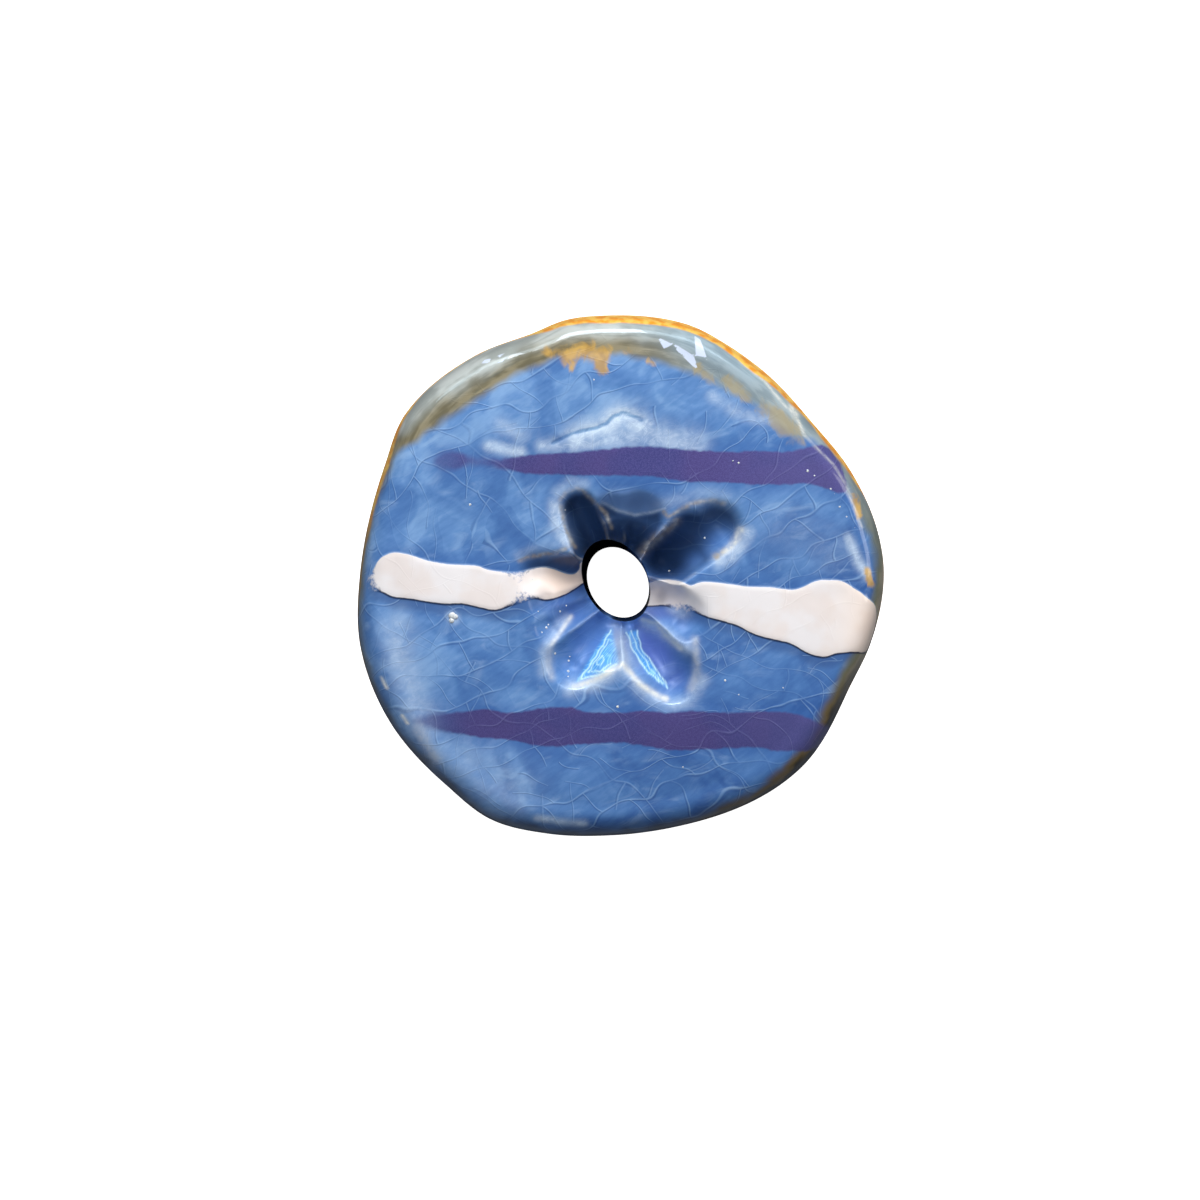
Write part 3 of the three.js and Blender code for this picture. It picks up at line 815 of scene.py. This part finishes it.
class Courses:
    """Cracks in uneven rows, like courses of bricks, with a lit and a shaded side."""

    def __init__(self, n, place, turn, gap, length, kept):
        along, across, _ = n.axes(n.move(place, turn=turn))
        course = n.math("DIVIDE", across, gap)
        row = n.math("FLOOR", course)
        row_chance = n.chance(row, 7)
        slant = n.scaled(row_chance, 1.5, -0.5)
        column = n.scaled(across, slant, along)
        column = n.scaled(column, 1 / length, n.times(row_chance, 9))
        bed, joint = n.from_nearest(course, gap), n.from_nearest(column, length)
        bed_kept = n.math("LESS_THAN", n.chance(n.math("ROUND", course), 3), kept)
        joint_kept = n.math("LESS_THAN", n.chance(row, n.math("ROUND", column)), kept)
        self.light, self.dark = [
            n.larger(self.side(n, bed, middle, bed_kept), self.side(n, joint, middle, joint_kept))
            for middle in (CRACK_LIT_SIDE, CRACK_DARK_SIDE)]
        self.flake = n.chance(row, n.math("FLOOR", column))

    def side(self, n, distance, middle, kept):
        """One side of a crack, a soft line beside its middle."""
        away = n.absolute(n.minus(distance, middle))
        return n.times(n.step(away, *CRACK_SOFTNESS, 1, 0), kept)


class Crackle:
    """Long curved cracks across the glaze, shorter ones between them, and its flakes."""

    def __init__(self, n, place, pressed):
        bent = n.warp(place, 23, 16)
        wide = Courses(n, bent, turn=-0.42, gap=4.6, length=8.5, kept=0.75)
        bent = n.move(bent, shift=(3, 1.7, 0))
        narrow = Courses(n, bent, turn=0.6, gap=6, length=7, kept=0.45)
        strength = n.step(n.cloud(place, 8), 0.3, 0.6, 0.3, 1)
        strength = n.times(strength, n.step(pressed, 0.3, 1.5, 1, 0.2))
        self.light = n.times(n.larger(wide.light, n.times(narrow.light, 0.7)), strength)
        self.dark = n.times(n.larger(wide.dark, n.times(narrow.dark, 0.7)), strength)
        self.flake = n.minus(n.plus(wide.flake, n.times(narrow.flake, 0.6)), 0.8)

    def over(self, n, colour, light, bright, dark, deep_shade):
        """A colour with the cracks drawn over it, lit on one side and shaded on the other."""
        colour = n.mix(n.times(self.dark, dark), colour, deep_shade)
        return n.mix(n.times(self.light, light), colour, bright)


class Place:
    """What the glazes read at each point: where it lies, in millimetres, and in which zones."""

    def __init__(self, n):
        self.place = place = n.add("Attribute", attribute_name="spread").outputs["Vector"]
        self.x, self.y, _ = n.axes(place)
        self.z = n.times(n.axes(n.add("TexCoord").outputs["Object"])[2], 1 / MM)
        self.pressed, self.inset, self.bore = n.read("pressed"), n.read("inset"), n.read("bore")
        self.ragged, self.faded = n.read("ragged"), n.read("faded")
        self.crackle = Crackle(n, place, self.pressed)
        self.cloud, self.run = n.cloud(place, 12, 3), n.cloud(place, 2.2, 4)
        clay_edge = n.step(self.run, 0.2, 0.8, 0.4, 1.6)
        self.bare = n.step(n.minus(clay_edge, self.z), -0.1, 0.2)

        # The edges of the zones are uneven
        fine = n.minus(n.cloud(place, 0.8, 3, 0.6), 0.5)
        small = n.minus(n.cloud(place, 1.6, 3), 0.5)
        large = n.minus(n.cloud(place, 5.5, 2, 0.4, 0.3), 0.5)
        white = n.plus(n.read("white"), n.times(small, 0.2))
        holes = n.times(self.ragged, n.minus(n.times(fine, 5), 0.7))
        self.white = n.step(n.plus(white, n.math("MINIMUM", holes, 0)),
                            n.scaled(self.ragged, -1.1, -0.06), n.scaled(self.ragged, 1.4, 0.12))
        purple = n.plus(n.read("purple"), n.times(small, 0.6))
        purple = n.minus(purple, n.times(self.faded, 0.15))
        self.stripes = n.larger(white, purple)
        self.purple = n.times(n.step(purple, n.scaled(self.faded, -0.7, -0.3),
                                     n.scaled(self.faded, 0.8, 0.3)),
                              n.scaled(self.faded, -0.35, 1))
        self.olive = n.plus(n.read("olive"), n.times(large, 2.2))
        amber = n.plus(n.read("amber"), n.times(large, 0.5))

        # Low on the side the amber glaze shows all round, up to an uneven line
        low_side = n.minus(n.scaled(large, 9, 12), self.z)
        low_side = n.minus(low_side, n.step(self.inset, 3, 6, 0, 20))
        self.amber = n.larger(amber, low_side)


def blue_level(n, at):
    """How light the blue is: painted light at the top and the left, painted shade at the lower right.
    """
    brushed = n.cloud(n.drawn_out(at.place, -0.6, 0.4, 1.5), 1.5, 4, 0.6)
    # Painted light at the top and left, painted shade at the lower right, then cloudy, brushed and
    # flaked tone
    return n.plus(n.step(at.y, 12, 40, 0, 0.2),
                  n.step(at.x, -12, -46, 0, 0.15),
                  n.step(n.minus(at.x, at.y), 15, 60, 0, -0.16),
                  n.step(n.cloud(at.place, 10, 3, 0.5, 0.6), 0.3, 0.7, 0.27, 0.6),
                  n.step(brushed, 0.25, 0.75, -0.06, 0.06),
                  n.times(at.crackle.flake, 0.1))


def blue_glaze(n, at):
    """Colour of the crackled blue glaze, with pale wisps."""
    blue = n.ramp(blue_level(n, at), BLUES)
    wisps = n.cloud(n.drawn_out(at.place, -0.4, 0.55, 1.3), 5, 5, 0.6, 0.8)
    patch = n.step(n.cloud(at.place, 8), 0.4, 0.64)
    blue = n.mix(n.times(n.step(wisps, 0.45, 0.72), patch, 0.3), blue, (166, 198, 232))

    # Deeper blue beside the stripes, and a painted shadow below the raised white one
    blue = n.mix(n.step(at.stripes, -3.2, -0.2, 0, 0.4), blue, (54, 96, 164))
    blue = n.mix(n.step(n.read("shade"), -1.2, 0.6, 0, 0.55), blue, (62, 90, 140))
    blue = in_finger_marks(n, at, blue)
    return at.crackle.over(n, blue, 0.3, (164, 200, 238), 0.48, (46, 80, 138))


def in_finger_marks(n, at, blue):
    """Pooled blue, with painted shade where the light comes over a mark's lip and painted light where
    it falls.
    """
    unlit = n.minus(1, n.times(n.read("lit"), 0.8))
    shaded = n.times(n.step(at.y, -5, 2.5), unlit)
    violet = n.times(n.step(at.x, 1, 5), n.step(at.y, -4, -9))
    lit_pool = n.mix(violet, (84, 124, 196), (98, 112, 196))
    pool_and_shade = n.mix(shaded, lit_pool, (40, 64, 104))
    depth = n.mix(shaded, n.step(at.pressed, 1, 7, 0, 0.6), n.step(at.pressed, 0.3, 2.9, 0, 0.96))
    blue = n.mix(depth, blue, pool_and_shade)
    # Extra painted shade in a few spots
    blue = n.mix(n.read("deep_shade"), blue, (58, 88, 156))
    # The slanting face is painted lighter, lifting the painted shade there
    return n.mix(n.times(n.read("facet"), 0.8), blue, (112, 148, 204))


def add_sky_reflections(n, at, colour):
    """Painted sky reflections in the two lower finger marks: cyan pools with thin winding light
    lines.
    """
    winding = n.times(n.cloud(n.drawn_out(at.place, -0.95, 0.4, 1), 3, 2, 0.5, 0.6), 10)
    winding = n.step(n.math("PINGPONG", winding, 0.5), 0.25, 0.5)
    sky_reflection = n.mix(n.times(winding, 0.85), (80, 158, 230), (140, 214, 246))
    colour = n.mix(n.times(n.read("sky_reflection"), 0.92), colour, sky_reflection)
    return n.mix(n.read("reflection_thread"), colour, (206, 244, 248))


def add_haze_and_sheen(n, at, colour):
    """White crystals in the glaze with painted sheen, soft with fine scratches."""
    soft = n.step(n.cloud(at.place, 3), 0.28, 0.62, 0.5, 0.9)
    scratch = n.cloud(n.drawn_out(at.place, -0.5, 0.5, 1), 1.4, 5, 0.65, 0.8)
    scratch = n.step(n.absolute(n.minus(scratch, 0.5)), 0, 0.05, 0.3, 0)
    return n.mix(n.times(n.read("haze_and_sheen"), n.plus(soft, scratch)), colour, (212, 230, 248))


def olive_glaze(n, at):
    """Colour of the grey olive glaze, in soft bands along the rim, with painted shade low on the rim.
    """
    around = n.times(n.math("ARCTAN2", at.y, at.x), 7)
    band = n.add("CombineXYZ", {0: around, 1: at.inset}).outputs[0]
    soft = n.scaled(n.cloud(band, 1.5, 3, 0.55, 0.3), 0.65, n.times(n.cloud(at.place, 5), 0.35))
    soft = n.step(soft, 0.38, 0.62)
    right = n.step(at.x, -4, 16)
    grey = n.mix(soft, n.mix(right, (156, 163, 160), (134, 154, 166)),
                 n.mix(right, (190, 197, 195), (156, 176, 188)))
    brown = n.mix(soft, (112, 106, 84), (146, 138, 112))
    brown = n.mix(n.step(at.x, -2, 22, 0, 0.8), brown, grey)
    side = n.step(at.y, 0, 24)
    grey = n.mix(side, n.mix(soft, (142, 134, 116), (164, 156, 136)), grey)
    brown = n.mix(side, n.mix(soft, (108, 114, 98), (124, 126, 102)), brown)
    # Painted shade: darker low on the rim, which faces away from the light
    low = n.step(at.y, -12, -30)
    grey = n.mix(low, grey, (38, 32, 26))
    shaded_low_brown = n.mix(n.step(at.x, 6, 26), (50, 64, 90), (118, 98, 56))
    brown = n.mix(low, brown, shaded_low_brown)
    low_end, high_end = n.step(side, 0, 1, 0.9, 1.8), n.step(side, 0, 1, 2, 5.2)
    return n.mix(n.step(at.olive, low_end, high_end), brown, grey)


def add_olive(n, at, colour):
    """Olive glaze round the rim, with soft drips of ochre that are duller at the upper right."""
    colour = n.mix(n.step(at.olive, -1, 1.3), colour, olive_glaze(n, at))
    drip = n.cloud(n.move(at.place, scale=(1, 0.7, 1)), 2.4, 3, 0.55, 0.8)
    line = n.read("ochre")
    ochre = n.step(n.plus(line, n.scaled(drip, 1.3, -0.7)), 0.15, 0.85)
    dull = n.times(n.step(at.x, 8, 14), n.step(at.x, 44, 38))
    ochre = n.times(ochre, n.step(line, 0.04, 0.3), n.scaled(dull, -0.25, 0.85))
    tone = n.step(n.cloud(at.place, 2.6), 0.35, 0.65)
    honey = n.mix(tone, (188, 150, 80), (216, 174, 90))
    return n.mix(ochre, colour, n.mix(dull, honey, (176, 158, 112)))


def add_crease_shade_and_reflections(n, at, colour):
    """Painted shade in the creases, and painted reflections as pale patches on the olive glaze."""
    crease_shade = n.step(n.read("crease_shade"), 0.2, 0.9, 0, 0.8)
    colour = n.mix(crease_shade, colour, (0.22, 0.4, 0.6, 1), blend="MULTIPLY")
    return n.mix(n.step(n.read("pale"), -0.05, 0.15), colour, (212, 224, 246))


def purple_glaze(n, at):
    """Colour of the purple stripes, with fine light grains."""
    purple = n.mix(n.step(at.cloud, 0.35, 0.65), (66, 67, 126), (77, 69, 127))
    inputs = {"Vector": at.place, "Scale": 3.4}
    grain = n.add("TexVoronoi", inputs, voronoi_dimensions="2D").outputs["Distance"]
    fine = n.step(n.cloud(at.place, 0.5, 2, 0.7), 0.35, 0.65, 0, 0.35)
    purple = n.mix(n.step(grain, 0.08, 0.28, 0.5, 0), purple, (108, 104, 166))
    purple = n.mix(fine, purple, (92, 86, 148))
    purple = n.mix(n.step(at.y, 0, -20, 0, 0.3), purple, (48, 44, 92))
    purple = n.mix(n.step(at.x, 14, 36, 0, 0.3), purple, (98, 100, 158))
    return at.crackle.over(n, purple, 0.16, (150, 154, 210), 0.2, (44, 44, 92))


def white_glaze(n, at):
    """Colour of the opaque white stripe."""
    blush = n.step(n.cloud(at.place, 9, 3), 0.4, 0.65)
    white = n.mix(blush, (237, 233, 234), (234, 225, 222))
    white = n.mix(n.step(at.x, 36, 49, 0, 0.6), white, (244, 220, 200))
    # Painted shade: peach where the white lies in the finger marks left of the hole
    painted_shade_tint = n.times(n.step(at.pressed, 0.8, 4.5, 0, 0.6), n.step(at.x, 4, -4))
    return n.mix(painted_shade_tint, white, (240, 214, 194))


def add_stripes(n, at, colour):
    """The stripes, the white one with a painted highlight along its upper edge and a painted shadow
    below.
    """
    colour = n.mix(at.purple, colour, purple_glaze(n, at))
    crisp = n.step(at.ragged, 0.1, 0.4, 1, 0)
    # Painted highlight along the upper edge of the raised white stripe
    upper = n.times(n.step(n.read("white_below"), -0.1, 0.2, 0, 0.28), crisp)
    colour = n.mix(upper, colour, (196, 222, 250))
    # Painted shadow along its lower edge
    edge_shadow = n.times(n.step(n.read("white_above"), -0.15, 0.1, 0, 0.85), crisp)
    colour = n.mix(edge_shadow, colour, (24, 32, 58))
    return n.mix(at.white, colour, white_glaze(n, at))


def add_breaks_and_highlights(n, at, colour):
    """Pale glaze and painted highlights over lips and ridges, tan over the upper ones."""
    patchy = n.step(n.cloud(at.place, 1.3, 3, 0.6), 0.34, 0.62, n.step(at.y, 2, -6, 0.5, 0.7), 1)
    # Every lip that bends outward is painted pale, partly glaze break and partly painted highlight
    lip = n.times(n.step(n.read("lip"), 1, 4.5), n.step(at.y, -4, 4, 0.12, 0.3))
    breaks_and_highlights = n.larger(lip, n.read("break_and_highlight"))
    tan = n.times(n.step(at.y, -3, 3), n.step(at.inset, 8, 14), n.step(at.x, 20.5, 18),
                  n.step(n.cloud(at.place, 2.4), 0.38, 0.56, 0.35, 1))
    pale = n.mix(tan, (226, 228, 222), (178, 164, 138))
    return n.mix(n.times(breaks_and_highlights, patchy), colour, pale)


def add_side(n, at, colour):
    """Amber glaze on the side, tan at the left, brown below as painted shade, and a painted highlight
    at the top's edge.
    """
    tone = n.step(at.run, 0.35, 0.65)
    honey = n.mix(tone, (244, 156, 32), (254, 206, 96))
    tan = n.times(n.step(at.y, 18, 4), n.step(at.x, 10, -10))
    honey = n.mix(tan, honey, (158, 130, 88))
    brown = n.mix(tone, (122, 84, 42), (160, 116, 64))
    # Painted shade: brown on the lower side, away from the light
    honey = n.mix(n.step(at.y, -6, -22), honey, brown)
    # Painted highlight: pale along the top's outer edge
    crest_highlight = n.times(n.step(at.inset, 0.45, 0.05), n.step(at.y, 30, 40, 0, 0.6), n.step(at.z, 5, 9))
    honey = n.mix(crest_highlight, honey, (252, 226, 170))
    return n.mix(n.step(at.amber, -0.15, 0.3), colour, honey)


def add_hole_shade_and_foot(n, at, colour):
    """Painted shade, near black, on the wall of the hole at the left and lower right, and the bare
    clay under the foot.
    """
    # Painted shade on the wall of the hole
    left = n.minus(n.times(at.y, 0.35), n.times(at.x, 0.85))
    right = n.minus(n.times(at.x, 0.6), n.times(at.y, 0.8))
    dark = n.larger(n.step(left, -1.5, 1.5), n.step(right, 4.6, 6, 0, 0.9))
    colour = n.mix(n.times(at.bore, dark), colour, (5, 6, 9))
    clay = n.mix(n.step(at.cloud, 0.3, 0.7), (196, 170, 136), (216, 194, 162))
    return n.mix(at.bare, colour, clay)


def new_material(name):
    """A material, calls that add nodes to it, and its shader."""
    material = bpy.data.materials.new(name)
    material.use_nodes = True
    tree = material.node_tree
    return material, Nodes(tree), tree.nodes["Principled BSDF"]


def glaze_material():
    """All the glazes, glossy but duller in the finger marks and the hole, and the rough clay."""
    material, n, shader = new_material("doughnut_glaze")
    at = Place(n)
    colour = blue_glaze(n, at)
    for add in (add_sky_reflections, add_haze_and_sheen, add_olive, add_crease_shade_and_reflections, add_stripes, add_breaks_and_highlights, add_side,
                add_hole_shade_and_foot):
        colour = add(n, at, colour)
    bumps = n.plus(n.times(n.cloud(at.place, 4.5, 1), 0.13), n.times(at.crackle.light, 0.03),
                   n.times(at.white, 0.1))
    bump = n.add("Bump", {"Height": bumps, "Strength": 0.7, "Distance": MM})
    glossy = n.minus(n.minus(1, at.bare), at.bore, clamp=True)
    edge = n.step(n.absolute(at.inset), 0.9, 0.2, 1, 0.1)
    n.fill(shader, {
        "Base Color": colour,
        "Roughness": n.step(at.bare, 0, 1, 0.3, 0.85),
        "IOR": 1.5,
        "Specular IOR Level": n.times(n.scaled(at.bore, -0.15, 0.15), edge),
        "Coat Weight": n.times(glossy, n.step(at.pressed, 0.15, 0.8, 1, 0.12), edge),
        "Coat Roughness": n.step(at.pressed, 0.3, 1.5, 0.02, 0.35),
        "Normal": bump.outputs[0],
    })
    return material


def speck_material():
    """White glaze of the lumps, and of the pimples as painted glints."""
    material, n, shader = new_material("white_specks")
    tone = n.cloud(n.add("TexCoord").outputs["Object"], MM)
    colour = n.mix(tone, (226, 222, 208), (206, 220, 236))
    n.fill(shader, {"Base Color": colour, "Roughness": 0.15, "Coat Weight": 1})
    return material


def floor_material():
    """Plain pale floor that shows as clean as a light box."""
    material, n, shader = new_material("pale_floor")
    n.fill(shader, {"Base Color": (0.9, 0.9, 0.9, 1), "Roughness": 0.9,
                    "Emission Color": (1, 1, 1, 1), "Emission Strength": 1})
    return material


# Floor, lights and camera

def make_floor():
    """A plain pale floor, which the glaze doesn't mirror."""
    corners = [(x * FLOOR_HALF, y * FLOOR_HALF, 0) for x, y in ((-1, -1), (1, -1), (1, 1), (-1, 1))]
    floor = add_object("floor", corners, [(0, 1, 2, 3)])
    floor.data.materials.append(floor_material())
    floor.location.z = -FLOOR_GAP * MM
    floor.visible_glossy = False
    floor.visible_diffuse = False


def area_light(name, azimuth, elevation, distance, size, radiance, colour, glossy):
    """A soft box that shines from a direction in degrees, seen only as light or as a reflection."""
    data = bpy.data.lights.new(name, "AREA")
    data.shape = "RECTANGLE"
    data.size, data.size_y = size
    data.energy = radiance * math.pi * size[0] * size[1]
    data.color = colour
    light = bpy.data.objects.new(name, data)
    a, e = math.radians(azimuth), math.radians(elevation)
    place = Vector((math.cos(a) * math.cos(e), math.sin(a) * math.cos(e), math.sin(e)))
    light.location = place * distance
    light.rotation_euler = place.to_track_quat("Z", "Y").to_euler()
    light.visible_glossy = glossy
    light.visible_diffuse = not glossy
    bpy.context.scene.collection.objects.link(light)


def make_world():
    """Faint bluish light from all round."""
    world = bpy.data.worlds.new("studio")
    bpy.context.scene.world = world
    world.use_nodes = True
    background = world.node_tree.nodes["Background"]
    background.inputs["Color"].default_value = WORLD_COLOUR
    background.inputs["Strength"].default_value = WORLD_STRENGTH


def make_camera():
    """Looks straight down, with the frame of the photo."""
    data = bpy.data.cameras.new("camera")
    data.sensor_width = CAMERA_SENSOR
    data.lens = CAMERA_SENSOR * CAMERA_DISTANCE / FRAME_WIDTH
    camera = bpy.data.objects.new("camera", data)
    camera.location = Vector((*FRAME_CENTRE, OUTLINE_HEIGHT + CAMERA_DISTANCE)) * MM
    bpy.context.scene.collection.objects.link(camera)
    bpy.context.scene.camera = camera


slab = Slab()
body = doughnut_body(slab)
body.data.materials.append(glaze_material())
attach(body, "root")
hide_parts(NODE)

specks = glaze_specks(slab)
specks.data.materials.append(speck_material())
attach(specks, "root")

make_floor()
for light in LIGHTS:
    area_light(*light)
make_world()
make_camera()
bpy.context.scene.view_settings.view_transform = "Standard"
